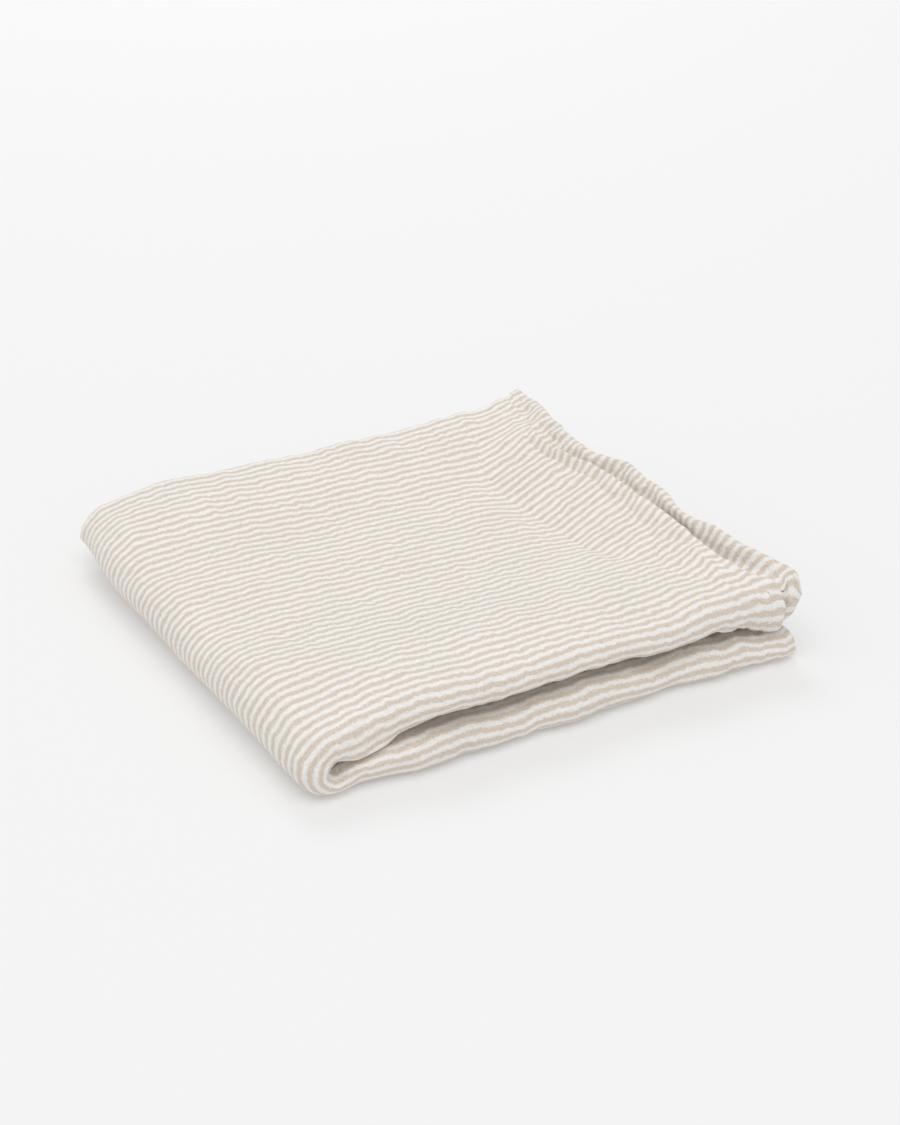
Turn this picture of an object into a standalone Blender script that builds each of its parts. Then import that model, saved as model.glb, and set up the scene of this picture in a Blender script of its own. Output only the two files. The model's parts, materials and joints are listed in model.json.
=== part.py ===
"""A striped muslin baby wrap, folded into a square pad.

One square cloth is halved four times: sideways, twice across the stripes, and sideways again. The last fold is the
round one on the left. It leaves a lower and an upper half of eight layers each. In each half, two leaves of cloth lie
one inside the other, and each leaf runs round the front fold, the back fold and the front fold again.

Sizes are in metres. X runs along the stripes, -Y is the front with the folded edges, and the pad lies on Z = 0.
A half is described by Y and by a reach, the distance from the centre line of the round fold.
"""

import math

import bpy

WIDTH = 0.300  # of the pad, along the stripes
DEPTH = 0.300  # of the pad, front to back
LAYER = 0.00235  # one lofted layer of double gauze
LAYER_GAP = 0.0004  # air between two layers
PIECE_GAP = 0.0003  # between two pieces of one layer
HALF_GAP = 0.0004  # between the halves where the round fold meets
INNER_REACH = 0.0002  # of the layer nearest the round fold's centre line
LAYERS = 8  # in one half
HEM = 0.008  # width of a turned hem
HEM_STAGGER = 0.0015  # each hidden back hem stops this much short of the one outside it
OUTER_HEM_END = 0.128  # X of the top leaf's free edge
LIP_RISE = 0.0085  # how far the second leaf curls up past that edge
LIP_RUN = 0.060  # front to back, over which the curl grows
THREAD_RADIUS = 0.0003
THREAD_INSET = 0.0055  # from the hem's free edge
THREAD_LIFT = 0.00005  # between the thread and the cloth

FOLD_STEPS = 6  # along a quarter of the round fold
FRONT_STEPS = 8  # round a front fold
BACK_STEPS = 6  # round a back fold
EDGE_STEPS = 4  # round the side fold's own edge
LIP_STEPS = 4

LAYER_PITCH = LAYER + LAYER_GAP
HALF_THICKNESS = LAYERS * LAYER_PITCH - LAYER_GAP
OUTER_REACH = INNER_REACH + HALF_THICKNESS
MIDDLE_REACH = (INNER_REACH + OUTER_REACH) / 2
MIDDLE_Z = OUTER_REACH + HALF_GAP / 2
FOLD_X = OUTER_REACH - WIDTH / 2
FRONT_Y = HALF_THICKNESS / 2 - DEPTH / 2
BACK_Y = DEPTH / 2 - (4 * LAYER_PITCH - LAYER_GAP) / 2
LEAF_END_Y = DEPTH / 2 - HEM - 3 * HEM_STAGGER - PIECE_GAP
SIDE_FOLD_RADIUS = (2 * LAYER + LAYER_GAP) / 2
SIDE_FOLD_X = WIDTH / 2 - SIDE_FOLD_RADIUS
LOWER, UPPER = -1, 1

COLLECTION = "folded_baby_wrap"


def clear_scene():
    for obj in list(bpy.data.objects):
        bpy.data.objects.remove(obj, do_unlink=True)
    for collection in list(bpy.data.collections):
        bpy.data.collections.remove(collection)


def new_material(name, colour, roughness):
    material = bpy.data.materials.new(name)
    material.use_nodes = True
    shader = material.node_tree.nodes["Principled BSDF"]
    shader.inputs["Base Color"].default_value = (*colour, 1.0)
    shader.inputs["Roughness"].default_value = roughness
    shader.inputs["Metallic"].default_value = 0.0
    material.diffuse_color = (*colour, 1.0)
    return material


def add_object(name, data, material, parent):
    data.materials.append(material)
    obj = bpy.data.objects.new(name, data)
    bpy.data.collections[COLLECTION].objects.link(obj)
    obj.parent = parent
    obj.matrix_parent_inverse = parent.matrix_world.inverted()
    return obj


def add_loft(name, rings, material, parent):
    """A closed solid through rings of the same number of points, with a flat cap at each end."""
    count = len(rings[0])
    points = [point for ring in rings for point in ring]
    faces = [list(range(count))[::-1]]
    for start in range(0, count * (len(rings) - 1), count):
        for i in range(count):
            j = (i + 1) % count
            faces.append([start + i, start + j, start + count + j, start + count + i])
    faces.append(list(range(len(points) - count, len(points))))
    mesh = bpy.data.meshes.new(name)
    mesh.from_pydata(points, [], faces)
    mesh.update()
    if signed_volume(mesh) < 0:
        mesh.flip_normals()
    mesh.shade_smooth()
    mesh.set_sharp_from_angle(angle=math.radians(40))
    return add_object(name, mesh, material, parent)


def signed_volume(mesh):
    mesh.calc_loop_triangles()
    corners = [vertex.co for vertex in mesh.vertices]
    total = 0.0
    for triangle in mesh.loop_triangles:
        a, b, c = (corners[i] for i in triangle.vertices)
        total += a.dot(b.cross(c))
    return total


def layer_reach(index):
    """Reach of the middle of a layer; layer 0 is the one nearest the other half."""
    return INNER_REACH + LAYER / 2 + index * LAYER_PITCH


def arc(centre_y, centre_reach, radius, start_deg, end_deg, steps):
    """Points (y, reach, normal y, normal reach) along an arc, with the normals pointing away from its centre."""
    found = []
    for i in range(steps + 1):
        angle = math.radians(start_deg + (end_deg - start_deg) * i / steps)
        normal = (math.cos(angle), math.sin(angle))
        found.append((centre_y + radius * normal[0], centre_reach + radius * normal[1], *normal))
    return found


def leaf_line(reaches, end_y):
    """Middle line of a leaf: front fold, back fold, front fold, with both ends free at the back.

    reaches holds its four layers in the order in which the line runs through them.
    """
    first, outer, inner, last = reaches
    line = [(end_y, first, 0.0, -1.0)]
    line += arc(FRONT_Y, (first + outer) / 2, (outer - first) / 2, 270, 90, FRONT_STEPS)
    line += arc(BACK_Y, (outer + inner) / 2, (outer - inner) / 2, 90, -90, BACK_STEPS)
    turned = arc(FRONT_Y, (inner + last) / 2, (inner - last) / 2, 90, 270, FRONT_STEPS)
    line += [(y, reach, -ny, -nr) for y, reach, ny, nr in turned]
    line.append((end_y, last, 0.0, 1.0))
    return line


def offset_line(line, distance):
    return [(y + ny * distance, reach + nr * distance) for y, reach, ny, nr in line]


def band(line, thickness=LAYER):
    """Closed outline of the cloth that follows a middle line."""
    return offset_line(line, thickness / 2) + offset_line(line, -thickness / 2)[::-1]


def round_fold_ring(outline, side, angle):
    """The outline set at an angle round the fold: 0 where the halves meet, 90 where the half lies flat."""
    across, along = math.cos(angle), math.sin(angle)
    return [
        (FOLD_X - reach * across, y, MIDDLE_Z + side * (HALF_GAP / 2 + reach * along))
        for y, reach in outline
    ]


def flat_ring(outline, side, x):
    return [(x, y, MIDDLE_Z + side * (HALF_GAP / 2 + reach)) for y, reach in outline]


def swept(outline, side, end_x):
    """Rings from the crest of the round fold to the half's right end."""
    angles = [math.pi / 2 * i / FOLD_STEPS for i in range(FOLD_STEPS + 1)]
    return [round_fold_ring(outline, side, a) for a in angles] + [flat_ring(outline, side, end_x)]


def smooth_step(value):
    value = min(max(value, 0.0), 1.0)
    return value * value * (3 - 2 * value)


def lip_ring(outline, x):
    """A ring of the second leaf's right end, whose topmost layer curls up."""
    rise = LIP_RISE * smooth_step((x - OUTER_HEM_END) / (WIDTH / 2 - OUTER_HEM_END))
    low, high = layer_reach(5) + LAYER / 2, layer_reach(6) - LAYER / 2
    ring = []
    for y, reach in outline:
        share = smooth_step((reach - low) / (high - low)) * smooth_step((y - FRONT_Y) / LIP_RUN)
        ring.append((x, y, MIDDLE_Z + HALF_GAP / 2 + reach + rise * share))
    return ring


def with_points_along(line, spacing):
    """The line with points added on its long straight runs, so that it can bend there."""
    found = [line[0]]
    for point in line[1:]:
        last = found[-1]
        steps = max(1, round(math.dist(last[:2], point[:2]) / spacing))
        for i in range(1, steps):
            share = i / steps
            found.append(tuple(a + (b - a) * share for a, b in zip(last, point)))
        found.append(point)
    return found


def lip_xs(start, end):
    return [start + (end - start) * i / LIP_STEPS for i in range(LIP_STEPS + 1)]


def add_back_hems(side, name, end_xs, material, parent):
    """The turned hems of the two cloth edges, which end at the back between the halves."""
    for layer in range(4):
        near = DEPTH / 2 - layer * HEM_STAGGER
        far = LEAF_END_Y + PIECE_GAP
        reach = layer_reach(layer)
        outline = [
            (near, reach - LAYER / 2),
            (near, reach + LAYER / 2),
            (far, reach + LAYER / 2),
            (far, reach - LAYER / 2),
        ]
        add_loft(f"{name}_{layer + 1}", swept(outline, side, end_xs[layer]), material, parent)


def add_side_fold(name, material, parent):
    """The first fold of the cloth: it joins the two leaves along the lower half's right end."""
    middles = [(layer_reach(i) + layer_reach(i + 1)) / 2 for i in (0, 6, 4, 2)]
    line = leaf_line(middles, DEPTH / 2 - 4 * HEM_STAGGER)
    rings = []
    for y, reach, ny, nr in line:
        ring = []
        for i in range(EDGE_STEPS + 1):
            angle = math.pi * (i / EDGE_STEPS - 0.5)
            out = SIDE_FOLD_RADIUS * math.cos(angle)
            off = SIDE_FOLD_RADIUS * math.sin(angle)
            z = MIDDLE_Z - (HALF_GAP / 2 + reach + nr * off)
            ring.append((SIDE_FOLD_X + out, y + ny * off, z))
        rings.append(ring)
    return add_loft(name, rings, material, parent)


def add_thread(name, line, x, lift, rise, material, parent):
    """A round thread that follows a line at one X, on the line's outer side."""
    spline_points = []
    for y, reach, ny, nr in line:
        share = smooth_step((y - FRONT_Y) / LIP_RUN) if reach > MIDDLE_REACH else 0.0
        z = MIDDLE_Z + HALF_GAP / 2 + reach + nr * lift + rise * share
        spline_points.append((x, y + ny * lift, z, 1.0))
    curve = bpy.data.curves.new(name, "CURVE")
    curve.dimensions = "3D"
    curve.bevel_depth = THREAD_RADIUS
    curve.bevel_resolution = 1
    curve.use_fill_caps = True
    spline = curve.splines.new("POLY")
    spline.points.add(len(spline_points) - 1)
    for point, place in zip(spline.points, spline_points):
        point.co = place
    return add_object(name, curve, material, parent)


def add_pivot(name):
    pivot = bpy.data.objects.new(name, None)
    bpy.data.collections[COLLECTION].objects.link(pivot)
    pivot.location = (-WIDTH / 2, 0.0, MIDDLE_Z)
    bpy.context.view_layer.update()
    return pivot


def build_lower_half(cloth, hem, outer_line, second_line):
    half = add_pivot("lower_half")
    end_x = SIDE_FOLD_X - PIECE_GAP
    add_loft("lower_outer_leaf", swept(band(outer_line), LOWER, end_x), cloth, half)
    add_loft("lower_inner_leaf", swept(band(second_line), LOWER, end_x), cloth, half)
    add_side_fold("lower_side_fold", cloth, half)
    add_back_hems(LOWER, "lower_back_hem", [end_x] * 4, hem, half)


def build_upper_half(cloth, hem, thread, outer_line, second_line):
    half = add_pivot("upper_half")
    hem_start = OUTER_HEM_END - HEM
    outer = band(outer_line)
    add_loft("upper_outer_leaf", swept(outer, UPPER, hem_start - PIECE_GAP), cloth, half)
    outer_hem = [flat_ring(outer, UPPER, x) for x in (hem_start, OUTER_HEM_END)]
    add_loft("upper_side_hem_outer", outer_hem, hem, half)

    bending_line = with_points_along(second_line, LIP_RUN / 4)
    second = band(bending_line)
    lip_start = WIDTH / 2 - HEM
    flat = swept(second, UPPER, OUTER_HEM_END)
    lip = [lip_ring(second, x) for x in lip_xs(OUTER_HEM_END, lip_start - PIECE_GAP)[1:]]
    add_loft("upper_inner_leaf", flat + lip, cloth, half)
    second_hem = [lip_ring(second, x) for x in lip_xs(lip_start, WIDTH / 2)]
    add_loft("upper_side_hem_inner", second_hem, hem, half)

    ends = [OUTER_HEM_END, WIDTH / 2, WIDTH / 2, OUTER_HEM_END]
    add_back_hems(UPPER, "upper_back_hem", ends, hem, half)

    lift = LAYER / 2 + THREAD_LIFT + THREAD_RADIUS
    outside = outer_line[: 1 + (FRONT_STEPS + 1) + (BACK_STEPS + 1) // 2 + 1]
    visible = outside[1:]
    x = OUTER_HEM_END - THREAD_INSET
    add_thread("outer_hem_thread", visible, x, lift, 0.0, thread, half)
    x = WIDTH / 2 - THREAD_INSET
    share = smooth_step((x - OUTER_HEM_END) / (WIDTH / 2 - OUTER_HEM_END))
    exposed = [point for point in bending_line if point[1] > MIDDLE_REACH and point[3] > 0]
    add_thread("inner_hem_thread", exposed, x, lift, LIP_RISE * share, thread, half)


def build():
    clear_scene()
    collection = bpy.data.collections.new(COLLECTION)
    bpy.context.scene.collection.children.link(collection)
    cloth = new_material("striped_muslin", (0.80, 0.75, 0.68), 0.9)
    hem = new_material("muslin_hem", (0.78, 0.72, 0.64), 0.9)
    thread = new_material("sewing_thread", (0.86, 0.84, 0.80), 0.7)
    outer_line = leaf_line([layer_reach(i) for i in (0, 7, 4, 3)], LEAF_END_Y)
    second_line = leaf_line([layer_reach(i) for i in (1, 6, 5, 2)], LEAF_END_Y)
    build_lower_half(cloth, hem, outer_line, second_line)
    build_upper_half(cloth, hem, thread, outer_line, second_line)


build()
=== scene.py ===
"""Looks of the folded striped muslin baby wrap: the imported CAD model's cloth, rebuilt as one thin folded sheet.

The cloth is a grid. One direction runs along the stripes: from a free short end at the upper right, left along the
upper half, round the round fold, right along the lower half to the side fold, and back the same way in a second leaf.
The other direction runs across the stripes: front fold, back fold, front fold. Sizes are in metres.
"""

import json
import math

import bpy
import numpy as np
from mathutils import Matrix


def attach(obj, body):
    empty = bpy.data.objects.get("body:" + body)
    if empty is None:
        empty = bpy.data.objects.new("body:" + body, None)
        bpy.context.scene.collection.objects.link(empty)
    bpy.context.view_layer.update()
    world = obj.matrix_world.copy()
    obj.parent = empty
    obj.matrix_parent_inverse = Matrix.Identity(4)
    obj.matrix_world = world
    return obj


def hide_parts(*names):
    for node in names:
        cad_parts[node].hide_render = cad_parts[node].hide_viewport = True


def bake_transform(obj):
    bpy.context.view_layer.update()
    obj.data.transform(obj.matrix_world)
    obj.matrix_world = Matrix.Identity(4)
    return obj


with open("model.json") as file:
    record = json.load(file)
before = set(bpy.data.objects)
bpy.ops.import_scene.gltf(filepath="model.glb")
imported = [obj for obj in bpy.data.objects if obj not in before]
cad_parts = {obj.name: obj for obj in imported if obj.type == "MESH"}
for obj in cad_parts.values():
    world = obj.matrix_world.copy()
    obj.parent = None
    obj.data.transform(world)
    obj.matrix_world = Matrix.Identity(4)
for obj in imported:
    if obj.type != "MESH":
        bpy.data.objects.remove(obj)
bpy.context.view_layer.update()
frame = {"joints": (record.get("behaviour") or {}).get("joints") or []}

MM = 0.001
LOWER, UPPER = "lower_half", "upper_half"
HINGE = frame["joints"][0]["pos_m"]
LEFT, RIGHT = HINGE[0], -HINGE[0]
DEPTH = 0.300
FRONT, BACK = -DEPTH / 2, DEPTH / 2
REACH = HINGE[2]  # thickness of one half, from the fold's centre line
FOLD_X = LEFT + REACH
INNER, OUTER = 0.6 * MM, REACH - 0.6 * MM  # reach of the innermost and the outermost layer of one half
LEVELS = [INNER + (OUTER - INNER) * i / 7 for i in range(8)]  # the half's eight layers
STRIPE_PITCH = 6.2 * MM
HEM = 7 * MM  # width of a turned hem

# ---------------------------------------------------------------- shape helpers


def step(value, low, high):
    """0 before low, 1 after high, smooth between."""
    t = np.clip((np.asarray(value, float) - low) / (high - low), 0, 1)
    return t * t * (3 - 2 * t)


def hump(value, centre, width):
    return np.exp(-(((np.asarray(value, float) - centre) / width) ** 2))


def lattice_noise(x, y, z, cell, seed):
    """Smooth random field from -1 to 1 with bumps about one cell wide."""
    values = np.random.default_rng(seed).uniform(-1, 1, (32, 32, 32))
    total = 0
    p = np.stack([np.asarray(a, float) / c for a, c in zip((x, y, z), cell)])
    base = np.floor(p).astype(int)
    t = p - base
    t = t * t * (3 - 2 * t)
    for corner in np.ndindex(2, 2, 2):
        weight = 1
        for axis in range(3):
            weight = weight * (t[axis] if corner[axis] else 1 - t[axis])
        i, j, k = ((base[axis] + corner[axis]) % 32 for axis in range(3))
        total = total + weight * values[i, j, k]
    return total


# ---------------------------------------------------------------- the relaxed shape of the pad
# In these functions, bare numbers beside a length that has been divided by MM are millimetres too.


def hem_x(y):
    """X of the top leaf's free edge: nearly straight, and swinging out towards both ends."""
    y = y / MM
    x = 130.5 - 6 * hump(y, 65, 32) - 2.5 * hump(y, -100, 22)
    return (x + 9 * step(y, 80, 140) + 10 * step(-y, 122, 148)) * MM


def hem_height(y):
    y = y / MM
    return (51 - 3 * step(-y, 110, 150) - 2.5 * step(y, 75, 115)) * MM


def crest_x(y):
    """X of the highest line of the second leaf's curl."""
    y = y / MM
    return (141 - 4 * hump(y, 45, 20) + 4 * hump(y, 10, 14) - 5 * hump(y, -60, 20) + 9 * step(y, 70, 140)
            + 9 * step(-y, 105, 145)) * MM


def crest_height(y):
    y = y / MM
    return (56 - 2.5 * step(y, -20, 40) - 1.5 * step(y, 95, 140) - 4 * step(-y, 120, 150)) * MM


def kink_x(y):
    """X where the top starts its climb to the free edge."""
    y = y / MM
    return (99 + 10 * step(y, -40, 60) + 12 * step(-y, 70, 140) + 10 * step(y, 80, 130)) * MM


def top_height(x, y):
    """Height of the pad's top: a shallow dish from back to front, and a climb to the free edge at the right."""
    x_mm, y_mm = x / MM, y / MM
    dish = 41 - 8 * step(-y_mm, -140, -55) + 9.5 * step(-y_mm, 10, 125)  # back, middle, front
    dish = dish + 2.5 * hump(x_mm, -95, 40) * step(y_mm, -90, 0)
    front_left = step(-x_mm, 85, 160) * step(-y_mm, 60, 140)
    back_left = step(y_mm, 95, 150) * step(-x_mm, 80, 150)
    dish = dish - 11.5 * front_left - 7 * back_left
    dish = dish + (3 - 9 * hump(y_mm, 15, 75)) * step(x_mm, 55, 103)  # a valley before the climb
    start, end = kink_x(y), hem_x(y)
    climb = np.clip((x - start) / np.maximum(end - start, 6 * MM), 0, 1.5)
    climb = climb * climb / (0.25 + climb) * 1.25
    return dish * MM + (hem_height(y) - dish * MM) * climb


def lower_height(x, y):
    """Height of the lower half's top."""
    x_mm, y_mm = x / MM, y / MM
    front = 19 - 4.5 * step(-x_mm, 95, 140) - 2 * step(x_mm, 100, 150)
    return (front + (18.5 - front) * step(y_mm, -140, -70)) * MM


def gap_height(x, y):
    """Height of the air between the halves: open at the front, and closed at the round fold."""
    x_mm, y_mm = x / MM, y / MM
    opening = 0.8 + 4.8 * step(-y_mm, 85, 140)
    opening = opening * (1 - 0.75 * step(x_mm, 95, 150))
    return opening * step(x_mm, FOLD_X / MM + 20, FOLD_X / MM + 56) * MM


ABOVE_FLOOR = 0.15 * MM  # the lowest that the cloth reaches
CRINKLES = ((44, 1.0, 1), (17, 0.75, 2), (7.5, 0.55, 3), (4.6, 0.28, 4))  # (size and height in mm, seed)
FINE_CRINKLE = 10  # crinkles smaller than this are stronger where the cloth is gathered


def relax(points):
    """Moves every layer together: the front edges wave, the left side bows, and the whole cloth crinkles."""
    x, y, z = points[..., 0], points[..., 1], points[..., 2]
    x_mm, y_mm, z_mm = x / MM, y / MM, z / MM
    near_front = step(-y_mm, 90, 150)
    upper = step(z_mm, 18, 23)
    lower_out = 7.5 - 3.5 * step(x_mm, -10, 40) + 1.1 * np.sin(x_mm / 15) + 0.8 * np.sin(x_mm / 7.3 + 1)
    upper_out = 2.5 + 2.5 * hump(x_mm, -48, 30) + 3.0 * step(-x_mm, 90, 130) + 1.5 * np.sin(x_mm / 12 + 1)
    out = lower_out + (upper_out - lower_out) * upper
    bow = 4.5 * step(-x_mm, 60, 150) * (1 - step(y_mm, 85, 150))
    wave = near_front * np.sin(x_mm / 13 + 0.6) * step(z_mm, 4, 14)
    moved = points + np.stack([-bow, -near_front * out, wave], -1) * MM
    back_left = step(-x_mm, 60, 150) * step(y_mm, 50, 150)  # this corner's underside is lifted
    moved[..., 2] += 15 * MM * back_left * np.clip(1 - z_mm / 19, 0, 1)
    sag = near_front * hump(x_mm, -105, 22) * hump(z_mm, 18, 6)
    moved[..., 1] -= 4.5 * MM * sag
    lifted = step(z_mm, 0.3, 5)
    gathered = 1 + 1.5 * step(x_mm, 90, 120) + 1.2 * step(x_mm, 128, 140) * step(-y_mm, 120, 145)
    for cell, amount, seed in CRINKLES:
        if cell < FINE_CRINKLE:
            amount = amount * gathered
        cells = (cell * 0.7 * MM, cell * 1.6 * MM, cell * 1.3 * MM)
        moved[..., 2] += lifted * amount * MM * lattice_noise(x, y, z, cells, seed)
        moved[..., 1] += 0.8 * amount * MM * lattice_noise(x, y, z, cells, seed + 10)
        moved[..., 0] += 0.6 * amount * MM * lattice_noise(x, y, z, cells, seed + 20)
    moved[..., 2] = np.maximum(moved[..., 2], ABOVE_FLOOR)
    return moved


# ---------------------------------------------------------------- the folded grid


def run(start, end, steps):
    return np.linspace(start, end, steps + 1)[1:]


TOP_STEPS = 190  # steps across the visible top
EDGE_Y = BACK - 2 * MM  # the cloth's long edges end a little inside the back fold


def across(levels):
    """The line across the stripes through one leaf: arrays of Y and of reach, with the same steps in each leaf.

    levels are the reach of its four layers: before the first front fold, to the back fold, to the second front fold,
    and after it.
    """
    first, outer, inner, last = levels
    front_y = FRONT + (OUTER - INNER) / 2
    back_y = BACK - (LEVELS[7] - LEVELS[4]) / 2
    y, r = [EDGE_Y], [first]

    def straight(to, steps):
        reach = r[-1]
        for value in run(y[-1], to, steps):
            y.append(value)
            r.append(reach)

    def turn(centre_y, to, outward, steps):
        centre, radius = (r[-1] + to) / 2, (to - r[-1]) / 2
        for angle in run(0, math.pi, steps):
            y.append(centre_y + outward * abs(radius) * math.sin(angle))
            r.append(centre - radius * math.cos(angle))

    straight(-80 * MM, 22)
    straight(front_y, 24)
    turn(front_y, outer, -1, 22)
    straight(back_y, TOP_STEPS)
    turn(back_y, inner, 1, 8)
    straight(front_y, 24)
    turn(front_y, last, -1, 6)
    straight(EDGE_Y, 24)
    return np.array(y), np.array(r)


def set_in_place(x, y, reach, turn):
    """Where a point of the folded cloth lies. turn is 0 in the lower half, 1 in the upper half, between on the fold.

    At the front the innermost layer turns round a small hollow, so the layers there are pressed together.
    """
    hollow = 0.17 * step(-y, 100 * MM, 145 * MM) * (1 - step(x, FOLD_X - 2 * MM, FOLD_X + 11 * MM))
    share = hollow + (1 - hollow) * reach / REACH
    low = lower_height(x, y)
    base = low + gap_height(x, y)
    top = top_height(x, y)
    angle = math.pi * turn
    out = -np.cos(angle)
    z_fold = low + share * np.where(out > 0, top - low, low) * out
    z = np.where(turn <= 0, low * (1 - share), np.where(turn >= 1, base + share * (top - base), z_fold))
    return np.stack([x - share * REACH * np.sin(angle), y + 0 * z, z], -1)


def plain_place(x, y, reach, turn):
    """The same point in the even, unrelaxed fold, where the halves part exactly at the hinge's height."""
    angle = math.pi * turn
    return np.stack([x - reach * np.sin(angle), y + 0 * reach, REACH - reach * np.cos(angle)], -1)


OUTER_LINE = across([LEVELS[0], LEVELS[7], LEVELS[4], LEVELS[3]])
SECOND_LINE = across([LEVELS[1], LEVELS[6], LEVELS[5], LEVELS[2]])
FINE_FROM, FINE_TO = 36, 80 + TOP_STEPS  # steps of those lines that lie where they can be seen
LOWER_END = RIGHT - 1.6 * MM  # leaves room for the side fold's turn
HEM_ROWS = 5  # rows of a leaf under the hem of its free end
UPPER_RUN = 0.27  # length of a leaf in the upper half, from the free end to the round fold


def along(steps_upper, steps_fold, steps_lower):
    """Stations along the stripes: (share of the upper run, turn, share of the lower run)."""
    hem_share = HEM / UPPER_RUN
    upper = np.concatenate([[0], run(0, hem_share, HEM_ROWS), run(hem_share, 1, steps_upper)])
    return upper, run(1, 0, steps_fold), run(0, 1, steps_lower)


def leaf_grid(line, end_x, stations):
    """Final and plain points of a leaf on its grid, and how far along the stripes each station is.

    end_x is the X of the leaf's free end, for each point of the line. Round the fold, distances are those of a layer
    at 0.6 of its reach.
    """
    y, reach = line
    upper, fold, lower = stations
    rows, plain, lengths = [], [], []
    for s in upper:
        x = end_x + (FOLD_X - end_x) * s
        rows.append(set_in_place(x, y, reach, np.ones_like(y)))
        plain.append(plain_place(x, y, reach, np.ones_like(y)))
        lengths.append(s * (RIGHT - FOLD_X))
    total = lengths[-1]
    for t in fold:
        rows.append(set_in_place(np.full_like(y, FOLD_X), y, reach, np.full_like(y, t)))
        plain.append(plain_place(np.full_like(y, FOLD_X), y, reach, np.full_like(y, t)))
        lengths.append(total + (1 - t) * math.pi * REACH * 0.6)
    total = lengths[-1]
    for s in lower:
        x = np.full_like(y, FOLD_X + (LOWER_END - FOLD_X) * s)
        rows.append(set_in_place(x, y, reach, np.zeros_like(y)))
        plain.append(plain_place(x, y, reach, np.zeros_like(y)))
        lengths.append(total + s * (RIGHT - FOLD_X))
    return np.array(rows), np.array(plain), np.array(lengths)


def smoothed(points, passes):
    """Averages each point of a polyline with its neighbours, and keeps the ends."""
    for _ in range(passes):
        points[1:-1] = (points[:-2] + 2 * points[1:-1] + points[2:]) / 4
    return points


def between(start, end, share):
    return start + (end - start) * share


def curl_lip(points, line, rows):
    """Lays the second leaf's free end over: out from under the top leaf's edge, up to a crest, and down outside it.

    Only the columns on top of the leaf, and more of them at its front turn, follow this line. The groove between the
    top leaf's edge and the crest closes towards both ends.
    """
    y, reach = line
    wide = step(-y, 132 * MM, 142 * MM) * (np.arange(len(y)) < FINE_TO)
    on_top = step(reach, LEVELS[3] - wide * 3 * MM, LEVELS[5] + (1 + 2 * wide) * MM)
    groove = 0.7 - 0.6 * step(y, 70 * MM, 100 * MM) - 0.55 * step(-y, 110 * MM, 140 * MM)
    edge, edge_z, crest, crest_z = hem_x(y), hem_height(y), crest_x(y), crest_height(y)
    root = points[rows].copy()
    below = np.clip(LEVELS[6] - reach, 0, 4 * MM)
    foot_x, foot_z = np.maximum(crest - 6 * MM, edge + 2 * MM), edge_z - 8 * MM
    wall_x, wall_z = np.maximum(crest - 4.5 * MM, edge + 3 * MM), edge_z - 1.5 * MM
    brow_x, brow_z = crest - 2.5 * MM, crest_z - 0.8 * MM
    seat_z = edge_z - 1.4 * MM
    third_x, third_z = between(edge, brow_x, 1 / 3), between(seat_z, brow_z, 1 / 3)
    late_x, late_z = between(edge, brow_x, 2 / 3), between(seat_z, brow_z, 2 / 3)
    way = np.array([
        [root[:, 0], root[:, 2] + below],
        [edge - 4 * MM, seat_z - 5.6 * MM * groove],
        [between(third_x, foot_x, groove), between(third_z, foot_z, groove)],
        [between(late_x, wall_x, groove), between(late_z, wall_z, groove)],
        [brow_x, brow_z],
        [crest + 0.5 * MM, crest_z],
        [crest + 4 * MM, crest_z - 5 * MM],
        [crest + 6 * MM, crest_z - 15 * MM],
    ])
    fine = 60
    lengths = np.concatenate([[0], np.cumsum([14, 7, 7, 7, 6, 7, 9])])  # share of the rows between way-points
    at = np.linspace(0, lengths[-1], fine)
    curve = np.array([[np.interp(at, lengths, way[:, k, j]) for j in range(len(y))] for k in (0, 1)])
    curve = smoothed(curve.transpose(2, 1, 0), 8)
    tangent = np.gradient(curve, axis=0)
    tangent /= np.linalg.norm(tangent, axis=-1, keepdims=True)
    normal = np.stack([-tangent[..., 1], tangent[..., 0]], -1)
    curve = curve - normal * below[None, :, None] * 0.8
    for i in range(rows):
        j = (fine - 1) * (1 - i / rows)
        low, part = int(j), j - int(j)
        place = curve[low] * (1 - part) + curve[min(low + 1, fine - 1)] * part
        points[i, :, 0] += on_top * (place[:, 0] - points[i, :, 0])
        points[i, :, 2] += on_top * (place[:, 1] - points[i, :, 2])


stations_outer = along(180, 32, 90)
stations_second = along(120, 12, 50)
v_line = np.concatenate([[0], np.cumsum(np.hypot(np.diff(OUTER_LINE[0]), np.diff(OUTER_LINE[1])))])

outer_end = hem_x(OUTER_LINE[0])
outer, outer_plain, outer_u = leaf_grid(OUTER_LINE, outer_end, stations_outer)
second_end = hem_x(SECOND_LINE[0]) + 9 * MM  # the second leaf reaches past the first
second, second_plain, second_u = leaf_grid(SECOND_LINE, second_end, stations_second)
LIP_ROWS = 26
curl_lip(second, SECOND_LINE, LIP_ROWS)

# the side fold: half turns from the outer leaf's last station to the second leaf's, with a little of each leaf
SIDE_ROWS = 3
middle = (outer[-1] + second[-1]) / 2
arm = (outer[-1] - second[-1]) / 2
radius = np.linalg.norm(arm, axis=1, keepdims=True)
turned = [
    middle + arm * math.cos(a) + radius * math.sin(a) * np.array([1, 0, 0])
    for a in np.linspace(0, math.pi, 9)[1:-1]
]
side = np.concatenate([outer[-SIDE_ROWS:], turned, second[: -SIDE_ROWS - 1 : -1]])

outer, second, side = relax(outer), relax(second), relax(side)


def grid_normals(points):
    du = np.gradient(points, axis=0)
    dv = np.gradient(points, axis=1)
    normals = np.cross(du, dv)
    return normals / np.maximum(np.linalg.norm(normals, axis=-1, keepdims=True), 1e-12)


# ---------------------------------------------------------------- meshes


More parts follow.
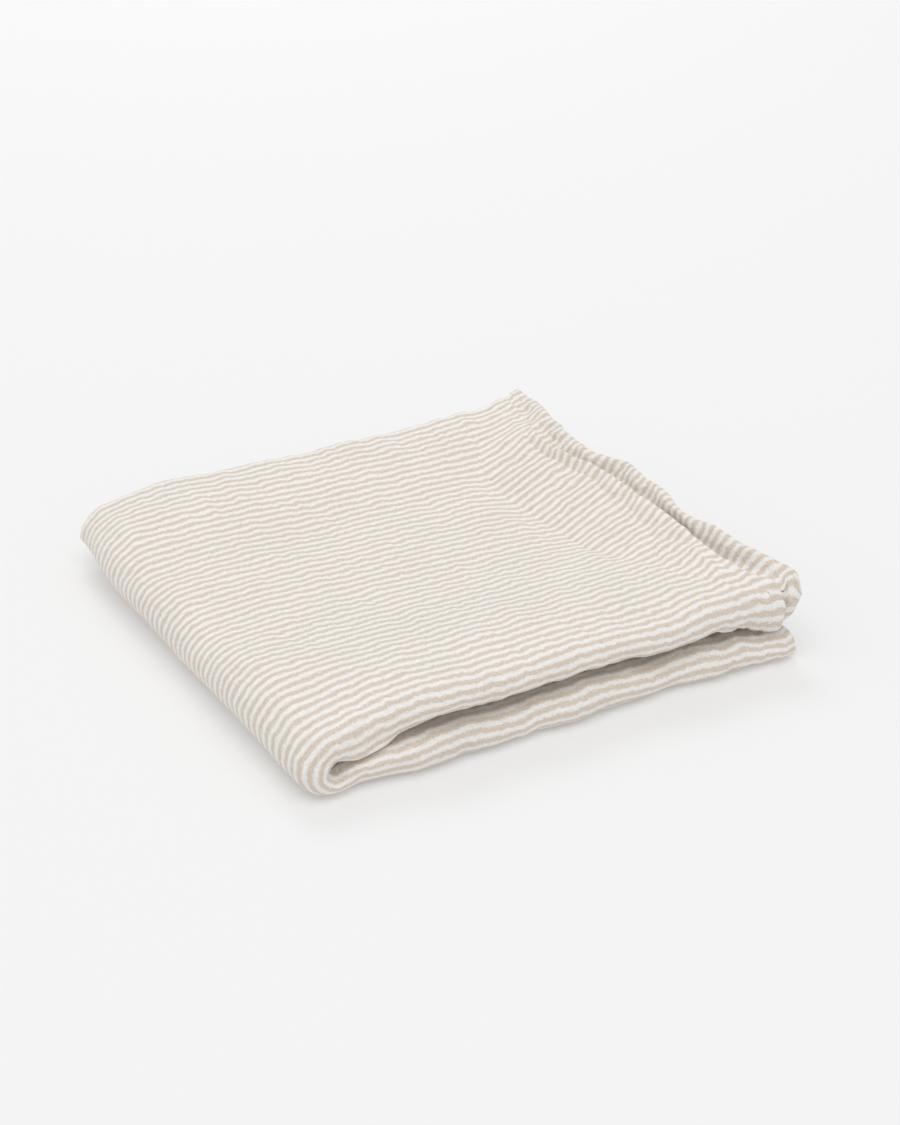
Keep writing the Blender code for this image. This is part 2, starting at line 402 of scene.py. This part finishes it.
def new_object(name, mesh):
    obj = bpy.data.objects.new(name, mesh)
    bpy.context.scene.collection.objects.link(obj)
    return obj


def grid_mesh(name, points, normals, u, v):
    rows, columns = points.shape[:2]
    index = np.arange(rows * columns).reshape(rows, columns)
    quads = np.stack([index[:-1, :-1], index[1:, :-1], index[1:, 1:], index[:-1, 1:]], -1).reshape(-1, 4)
    mesh = bpy.data.meshes.new(name)
    mesh.from_pydata(points.reshape(-1, 3).tolist(), [], quads.tolist())
    uv = np.stack([np.broadcast_to(u[:, None], (rows, columns)), np.broadcast_to(v[None, :], (rows, columns))], -1)
    uv = uv.reshape(-1, 2)
    layer = mesh.uv_layers.new(name="cloth")
    layer.data.foreach_set("uv", uv[quads.ravel()].ravel().astype(np.float32))
    mesh.shade_smooth()
    mesh.normals_split_custom_set_from_vertices(normals.reshape(-1, 3).tolist())
    return mesh


def blend_over_fold(obj, even, final):
    """Puts the piece in the even fold, bakes its transform into the mesh, and then gives it its final shape."""
    obj.data.vertices.foreach_set("co", even.reshape(-1).astype(np.float32))
    obj.data.update()
    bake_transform(obj)
    obj.data.vertices.foreach_set("co", final.reshape(-1).astype(np.float32))
    obj.data.update()


def cloth_piece(name, grid, plain, rows, columns, u, v, body, material, replaced):
    """A stretch of a leaf. It rides on one half, or with body None it crosses the hinge."""
    r, c = slice(*rows), slice(*columns)
    mesh = grid_mesh(name, grid[r, c], grid_normals(grid)[r, c], u[r], v[c])
    obj = new_object(name, mesh)
    if body:
        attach(obj, body)
    else:
        blend_over_fold(obj, plain[r, c], grid[r, c])
    mesh.materials.append(material)
    if replaced:
        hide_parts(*replaced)


# ---------------------------------------------------------------- hems and stitches

HEM_HALF = 0.5 * MM  # half the thickness of a turned hem
HEM_OVERHANG = 0.3 * MM  # how far a long hem stands out past the cloth's edge
# the upper half of a hem's cross-section: (share of its width from the inside, share of its half thickness)
HEM_ROUND = [(-0.1, 0.0), (0.15, 0.45), (0.4, 0.85), (0.75, 1.0), (0.95, 0.75), (1.02, 0.25)]


def hem_rings(rows, normals, span, half):
    """Rings of a rolled hem: from inside, over the edge, and back beneath.

    rows are the cloth's own, edge first, and the hem is span of them wide.
    """
    ring = HEM_ROUND + [(share, -rise) for share, rise in HEM_ROUND[::-1]]
    found = []
    for share, rise in ring:
        place = (1 - share) * span
        low = min(max(int(place), 0), len(rows) - 2)
        found.append(rows[low] + (rows[low + 1] - rows[low]) * (place - low) + normals * rise * half)
    return np.stack(found, 1)


def hem_mesh(name, rings, u, v):
    """A closed strip through rings; u and v give each ring its place on the cloth."""
    count, around = rings.shape[:2]
    faces = [list(range(around))[::-1], list(range((count - 1) * around, count * around))]
    for i in range(count - 1):
        for j in range(around):
            k = (j + 1) % around
            faces.append([i * around + j, i * around + k, (i + 1) * around + k, (i + 1) * around + j])
    mesh = bpy.data.meshes.new(name)
    mesh.from_pydata(rings.reshape(-1, 3).tolist(), [], faces)
    layer = mesh.uv_layers.new(name="cloth")
    corner = np.empty(len(mesh.loops), np.int32)
    mesh.loops.foreach_get("vertex_index", corner)
    uv = np.stack([u.ravel(), v.ravel()], -1)[corner]
    layer.data.foreach_set("uv", uv.ravel().astype(np.float32))
    mesh.update()
    mesh.calc_loop_triangles()
    corners = rings.reshape(-1, 3)[np.array([t.vertices[:] for t in mesh.loop_triangles])]
    if np.linalg.det(corners - corners.mean((0, 1))).sum() < 0:
        mesh.flip_normals()
    mesh.shade_smooth()
    return mesh


def side_hem(name, grid, columns, material, replaced):
    """The hem along a leaf's free end, at its first row."""
    normals = grid_normals(grid)
    c = slice(*columns)
    rings = hem_rings(grid[: HEM_ROWS + 2, c], normals[2, c], HEM_ROWS, HEM_HALF)
    around = rings.shape[1]
    v = np.repeat(v_line[c][:, None], around, 1)
    u = np.repeat(np.linspace(0, 2 * HEM, around)[None], len(v), 0)
    obj = new_object(name, hem_mesh(name, rings, u, v))
    obj.data.materials.append(material)
    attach(obj, UPPER)
    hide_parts(*replaced)


def back_hem(name, grid, plain, rows, column, body, u_rows, material, replaced):
    """The hem along one long edge of the cloth, at a leaf's first or last column."""
    r = slice(*rows)
    toward = 1 if column == 0 else -2
    found = []
    for shape, half in ((grid, HEM_HALF), (plain, 0)):  # the even fold's rings have no thickness, and only the pieces over the fold use them
        edge = shape[r, column]
        inward = shape[r, toward] - edge
        inward = inward / np.linalg.norm(inward, axis=-1, keepdims=True)
        rows_across = np.stack([edge - inward * HEM_OVERHANG, edge + inward * HEM])
        found.append(hem_rings(rows_across, grid_normals(shape)[r, column], 1, half))
    final, even = found
    around = final.shape[1]
    u = np.repeat(u_rows[r][:, None], around, 1)
    v = np.repeat(v_line[column] + np.linspace(0, 2 * HEM, around)[None], len(u), 0)
    mesh = hem_mesh(name, final, u, v)
    obj = new_object(name, mesh)
    if body:
        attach(obj, body)
    else:
        blend_over_fold(obj, even, final)
    mesh.materials.append(material)
    if replaced:
        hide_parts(replaced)


STITCH_PITCH, STITCH_LENGTH, THREAD_RADIUS = 3.4 * MM, 2.5 * MM, 0.17 * MM
STITCH_SHARES = (0, 0.2, 0.5, 0.8, 1)  # where a stitch's cross-sections lie along it
THREAD_SIDES = 6


def stitches(name, grid, row, columns, material, replaced):
    """A running stitch along one row of a leaf, as short round threads half sunk in the hem."""
    line = grid[row, slice(*columns)]
    normals = grid_normals(grid)[row, slice(*columns)]
    place = np.concatenate([[0], np.cumsum(np.linalg.norm(np.diff(line, axis=0), axis=-1))])
    vertices, faces = [], []
    for start in np.arange(1 * MM, place[-1] - STITCH_LENGTH, STITCH_PITCH):
        points, ups = [], []
        for share in STITCH_SHARES:
            at = start + share * STITCH_LENGTH
            middle = np.array([np.interp(at, place, line[:, k]) for k in range(3)])
            normal = np.array([np.interp(at, place, normals[:, k]) for k in range(3)])
            lift = 0.6 * HEM_HALF + (0.08 if 0 < share < 1 else -0.25) * MM
            points.append(middle + normal * lift)
            ups.append(normal)
        run_way = points[-1] - points[0]
        run_way = run_way / np.linalg.norm(run_way)
        first = len(vertices)
        for point, normal in zip(points, ups):
            side_way = np.cross(run_way, normal)
            for k in range(THREAD_SIDES):
                angle = 2 * math.pi * k / THREAD_SIDES
                vertices.append(point + THREAD_RADIUS * (math.cos(angle) * side_way + math.sin(angle) * normal))
        last = len(vertices) - THREAD_SIDES
        for a in range(first, last, THREAD_SIDES):
            b = a + THREAD_SIDES
            for k in range(THREAD_SIDES):
                n = (k + 1) % THREAD_SIDES
                faces.append([a + k, b + k, b + n, a + n])
        faces.append([first + k for k in range(THREAD_SIDES)])
        faces.append([last + k for k in range(THREAD_SIDES)][::-1])
    mesh = bpy.data.meshes.new(name)
    mesh.from_pydata([v.tolist() for v in vertices], [], faces)
    mesh.shade_smooth()
    mesh.materials.append(material)
    obj = new_object(name, mesh)
    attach(obj, UPPER)
    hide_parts(replaced)


# ---------------------------------------------------------------- materials


def muslin(name, white, beige, bump=1.0):
    """Crinkled double gauze. The stripes run along U, and both U and V are metres on the flat cloth."""
    material = bpy.data.materials.new(name)
    material.use_nodes = True
    nodes, links = material.node_tree.nodes, material.node_tree.links
    shader = nodes["Principled BSDF"]
    shader.inputs["Roughness"].default_value = 0.92
    shader.inputs["Sheen Weight"].default_value = 0.4
    shader.inputs["Sheen Roughness"].default_value = 0.5
    shader.inputs["Specular IOR Level"].default_value = 0.2

    def math_node(operation, a, b=None, c=None):
        node = nodes.new("ShaderNodeMath")
        node.operation = operation
        for socket, value in zip(node.inputs, (a, b, c)):
            if value is None:
                continue
            if isinstance(value, (int, float)):
                socket.default_value = value
            else:
                links.new(value, socket)
        return node.outputs[0]

    uv = nodes.new("ShaderNodeUVMap")
    uv.uv_map = "cloth"

    def noise(cells_u, cells_v, detail=2.0, roughness=0.5, distortion=0.0):
        """Noise over the cloth, with this many cells a metre along and across the stripes."""
        mapping = nodes.new("ShaderNodeMapping")
        mapping.inputs["Scale"].default_value = (cells_u, cells_v, 1)
        links.new(uv.outputs["UV"], mapping.inputs["Vector"])
        node = nodes.new("ShaderNodeTexNoise")
        node.inputs["Scale"].default_value = 1.0
        node.inputs["Detail"].default_value = detail
        node.inputs["Roughness"].default_value = roughness
        node.inputs["Distortion"].default_value = distortion
        links.new(mapping.outputs["Vector"], node.inputs["Vector"])
        return node.outputs["Fac"]

    # the stripes drift, wobble, and fray at their edges
    split = nodes.new("ShaderNodeSeparateXYZ")
    links.new(uv.outputs["UV"], split.inputs["Vector"])
    v = split.outputs["Y"]
    for cells_u, cells_v, amount in ((60, 38, 2.6 * MM), (170, 90, 2.4 * MM), (420, 1200, 3.0 * MM)):
        v = math_node("MULTIPLY_ADD", math_node("SUBTRACT", noise(cells_u, cells_v), 0.5), amount, v)
    wave = math_node("COSINE", math_node("MULTIPLY", v, 2 * math.pi / STRIPE_PITCH))
    band = nodes.new("ShaderNodeMapRange")
    band.inputs["From Min"].default_value = -0.65
    band.inputs["From Max"].default_value = 0.55
    links.new(wave, band.inputs["Value"])
    speck = noise(900, 1100, 2.0, 0.7)  # the dye takes unevenly on the yarns
    dyed = math_node("MULTIPLY_ADD", speck, -1.3, 1.52)
    mix = nodes.new("ShaderNodeMix")
    mix.data_type = "RGBA"
    mix.inputs["A"].default_value = (*white, 1)
    mix.inputs["B"].default_value = (*beige, 1)
    links.new(math_node("MULTIPLY", band.outputs["Result"], dyed), mix.inputs["Factor"])

    # the yarns both ways, the grain of the gauze and faint wear in broad patches set the tone
    slub = noise(260, 1400, 3.0, 0.6)
    cross = noise(1400, 260, 3.0, 0.6)
    worn = noise(22, 22)
    tone = math_node("ADD", math_node("MULTIPLY", slub, 0.24), math_node("MULTIPLY", cross, 0.18))
    grain = noise(800, 800, 2.0, 0.7)
    tone = math_node("ADD", tone, math_node("MULTIPLY", grain, 0.32))
    tone = math_node("ADD", tone, math_node("MULTIPLY_ADD", worn, 0.08, 0.585))
    shade = nodes.new("ShaderNodeMix")
    shade.data_type = "RGBA"
    shade.blend_type = "MULTIPLY"
    shade.inputs["Factor"].default_value = 1.0
    links.new(mix.outputs["Result"], shade.inputs["A"])
    combine = nodes.new("ShaderNodeCombineXYZ")
    for socket in combine.inputs:
        links.new(tone, socket)
    links.new(combine.outputs["Vector"], shade.inputs["B"])
    links.new(shade.outputs["Result"], shader.inputs["Base Color"])

    pucker = noise(230, 150, 3.0, 0.55, 0.6)
    weave = math_node("ADD", math_node("MULTIPLY", slub, 0.12), math_node("MULTIPLY", cross, 0.12))
    height = math_node("ADD", pucker, weave)
    relief = nodes.new("ShaderNodeBump")
    relief.inputs["Strength"].default_value = 0.8
    relief.inputs["Distance"].default_value = 0.9 * MM * bump
    links.new(height, relief.inputs["Height"])
    links.new(relief.outputs["Normal"], shader.inputs["Normal"])
    return material


def plain_material(name, colour, roughness):
    material = bpy.data.materials.new(name)
    material.use_nodes = True
    shader = material.node_tree.nodes["Principled BSDF"]
    shader.inputs["Base Color"].default_value = (*colour, 1)
    shader.inputs["Roughness"].default_value = roughness
    shader.inputs["Specular IOR Level"].default_value = 0.1
    return material


WHITE, BEIGE, THREAD = (0.875, 0.855, 0.825), (0.665, 0.568, 0.465), (0.84, 0.82, 0.79)
cloth = muslin("striped_muslin", WHITE, BEIGE)
hem_cloth = muslin("muslin_hem", WHITE, BEIGE, 0.7)
thread = plain_material("sewing_thread", THREAD, 0.7)

# ---------------------------------------------------------------- the pieces

FOLD_MARGIN = 5  # rows of each half that belong to the fold's pieces


def row_ranges(stations):
    """Rows of the upper half, of the round fold and of the lower half; neighbours share one row."""
    first = len(stations[0]) - 1 - FOLD_MARGIN
    last = len(stations[0]) + len(stations[1]) + FOLD_MARGIN
    end = sum(len(part) for part in stations) - SIDE_ROWS + 1
    return (0, first + 1), (first, last), (last - 1, end)


second_u = outer_u[-1] * 2 - second_u  # the second leaf runs back from the side fold
side_u = np.linspace(outer_u[-1] - 5 * MM, outer_u[-1] + 10 * MM, len(side))
COLUMNS = len(v_line)
FINE, BEFORE = (FINE_FROM, FINE_TO), (0, FINE_FROM + 1)
AFTER, WHOLE = (FINE_TO - 1, COLUMNS), (0, COLUMNS)
up, over, down = row_ranges(stations_outer)
up_2, over_2, down_2 = row_ranges(stations_second)
pieces = [
    ("upper_top", outer, outer_plain, up, FINE, outer_u, UPPER, ["upper_outer_leaf"]),
    ("round_fold_skin", outer, outer_plain, over, FINE, outer_u, None, []),
    ("lower_bottom", outer, outer_plain, down, FINE, outer_u, LOWER, ["lower_outer_leaf"]),
    ("upper_inside", outer, outer_plain, up, BEFORE, outer_u, UPPER, []),
    ("fold_inside", outer, outer_plain, over, BEFORE, outer_u, None, []),
    ("lower_inside", outer, outer_plain, down, BEFORE, outer_u, LOWER, []),
    ("upper_core", outer, outer_plain, up, AFTER, outer_u, UPPER, []),
    ("fold_core", outer, outer_plain, over, AFTER, outer_u, None, []),
    ("lower_core", outer, outer_plain, down, AFTER, outer_u, LOWER, []),
    ("upper_second", second, second_plain, up_2, WHOLE, second_u, UPPER, ["upper_inner_leaf"]),
    ("fold_second", second, second_plain, over_2, WHOLE, second_u, None, []),
    ("lower_second", second, second_plain, down_2, WHOLE, second_u, LOWER, ["lower_inner_leaf"]),
    ("side_fold", side, side, (0, len(side)), WHOLE, side_u, LOWER, ["lower_side_fold"]),
]
for name, grid, plain, rows, columns, u, body, replaced in pieces:
    cloth_piece(name, grid, plain, rows, columns, u, v_line, body, cloth, replaced)
side_hem("upper_hem_outer", outer, FINE, hem_cloth, ["upper_side_hem_outer"])
side_hem("upper_hem_second", second, FINE, hem_cloth, ["upper_side_hem_inner"])
back_edges = [
    (1, outer, outer_plain, 0, (up, over, down), outer_u),
    (2, second, second_plain, 0, (up_2, over_2, down_2), second_u),
    (3, second, second_plain, -1, (up_2, over_2, down_2), second_u),
    (4, outer, outer_plain, -1, (up, over, down), outer_u),
]
for i, grid, plain, column, ranges, u in back_edges:
    for place, rows, body in zip(("upper", "fold", "lower"), ranges, (UPPER, None, LOWER)):
        replaced = f"{place}_back_hem_{i}" if body else None
        back_hem(f"{place}_long_hem_{i}", grid, plain, rows, column, body, u, hem_cloth, replaced)
STITCH_ROW = 4  # the row of a leaf under its seam
stitches("outer_hem_stitches", outer, STITCH_ROW, FINE, thread, "outer_hem_thread")
stitches("second_hem_stitches", second, STITCH_ROW, FINE, thread, "inner_hem_thread")

# ---------------------------------------------------------------- floor, light and camera

FLOOR_GREY, FLOOR_GLOW, WORLD_LIGHT = 0.68, 0.21, 0.66  # the floor glows a little, as over a light table

floor_mesh = bpy.data.meshes.new("floor")
floor_mesh.from_pydata([(-6, -6, 0), (6, -6, 0), (6, 9, 0), (-6, 9, 0)], [], [(0, 1, 2, 3)])
floor_material = plain_material("floor", (FLOOR_GREY, FLOOR_GREY, FLOOR_GREY), 0.9)
floor_shader = floor_material.node_tree.nodes["Principled BSDF"]
floor_shader.inputs["Emission Color"].default_value = (1, 1, 1, 1)
floor_shader.inputs["Emission Strength"].default_value = FLOOR_GLOW
floor_mesh.materials.append(floor_material)
floor = new_object("floor", floor_mesh)

world = bpy.data.worlds.new("studio")
bpy.context.scene.world = world
world.use_nodes = True
background = world.node_tree.nodes["Background"]
background.inputs["Color"].default_value = (1.0, 1.0, 1.0, 1)
background.inputs["Strength"].default_value = WORLD_LIGHT


def area_light(name, place, target, size, power):
    light = bpy.data.lights.new(name, "AREA")
    light.shape = "DISK"
    light.size = size
    light.energy = power
    obj = bpy.data.objects.new(name, light)
    bpy.context.scene.collection.objects.link(obj)
    obj.location = place
    away = np.array(place, float) - np.array(target, float)
    obj.rotation_euler = (0, math.acos(away[2] / np.linalg.norm(away)), math.atan2(away[1], away[0]))


area_light("key", (-0.6, -1.1, 3.1), (0, 0, 0), 3.2, 38)
area_light("far", (0.8, 2.1, 2.2), (0.8, 1.8, 0), 1.6, 19)

AZIMUTH, ELEVATION, DISTANCE = math.radians(-29.49), math.radians(27.01), 1.405
LENS_PX, LONG_PX, SENSOR_MM = 2450, 1125, 36  # focal length and longer side of the image in pixels
AIM_RIGHT, AIM_UP = 0.0158, 0.0263  # the point looked at, from the origin
look = np.array([
    -math.sin(AZIMUTH) * math.cos(ELEVATION), math.cos(AZIMUTH) * math.cos(ELEVATION), -math.sin(ELEVATION)
])
view_right = np.array([math.cos(AZIMUTH), math.sin(AZIMUTH), 0])
view_up = np.cross(view_right, look)
target = view_right * AIM_RIGHT + view_up * AIM_UP
camera_data = bpy.data.cameras.new("camera")
camera_data.sensor_width = SENSOR_MM
camera_data.lens = LENS_PX / LONG_PX * SENSOR_MM
camera_data.clip_end = 30
camera = bpy.data.objects.new("camera", camera_data)
bpy.context.scene.collection.objects.link(camera)
camera.location = target - look * DISTANCE
camera.rotation_euler = (math.pi / 2 - ELEVATION, 0, AZIMUTH)
bpy.context.scene.camera = camera
bpy.context.scene.view_settings.view_transform = "Standard"

bpy.context.view_layer.update()
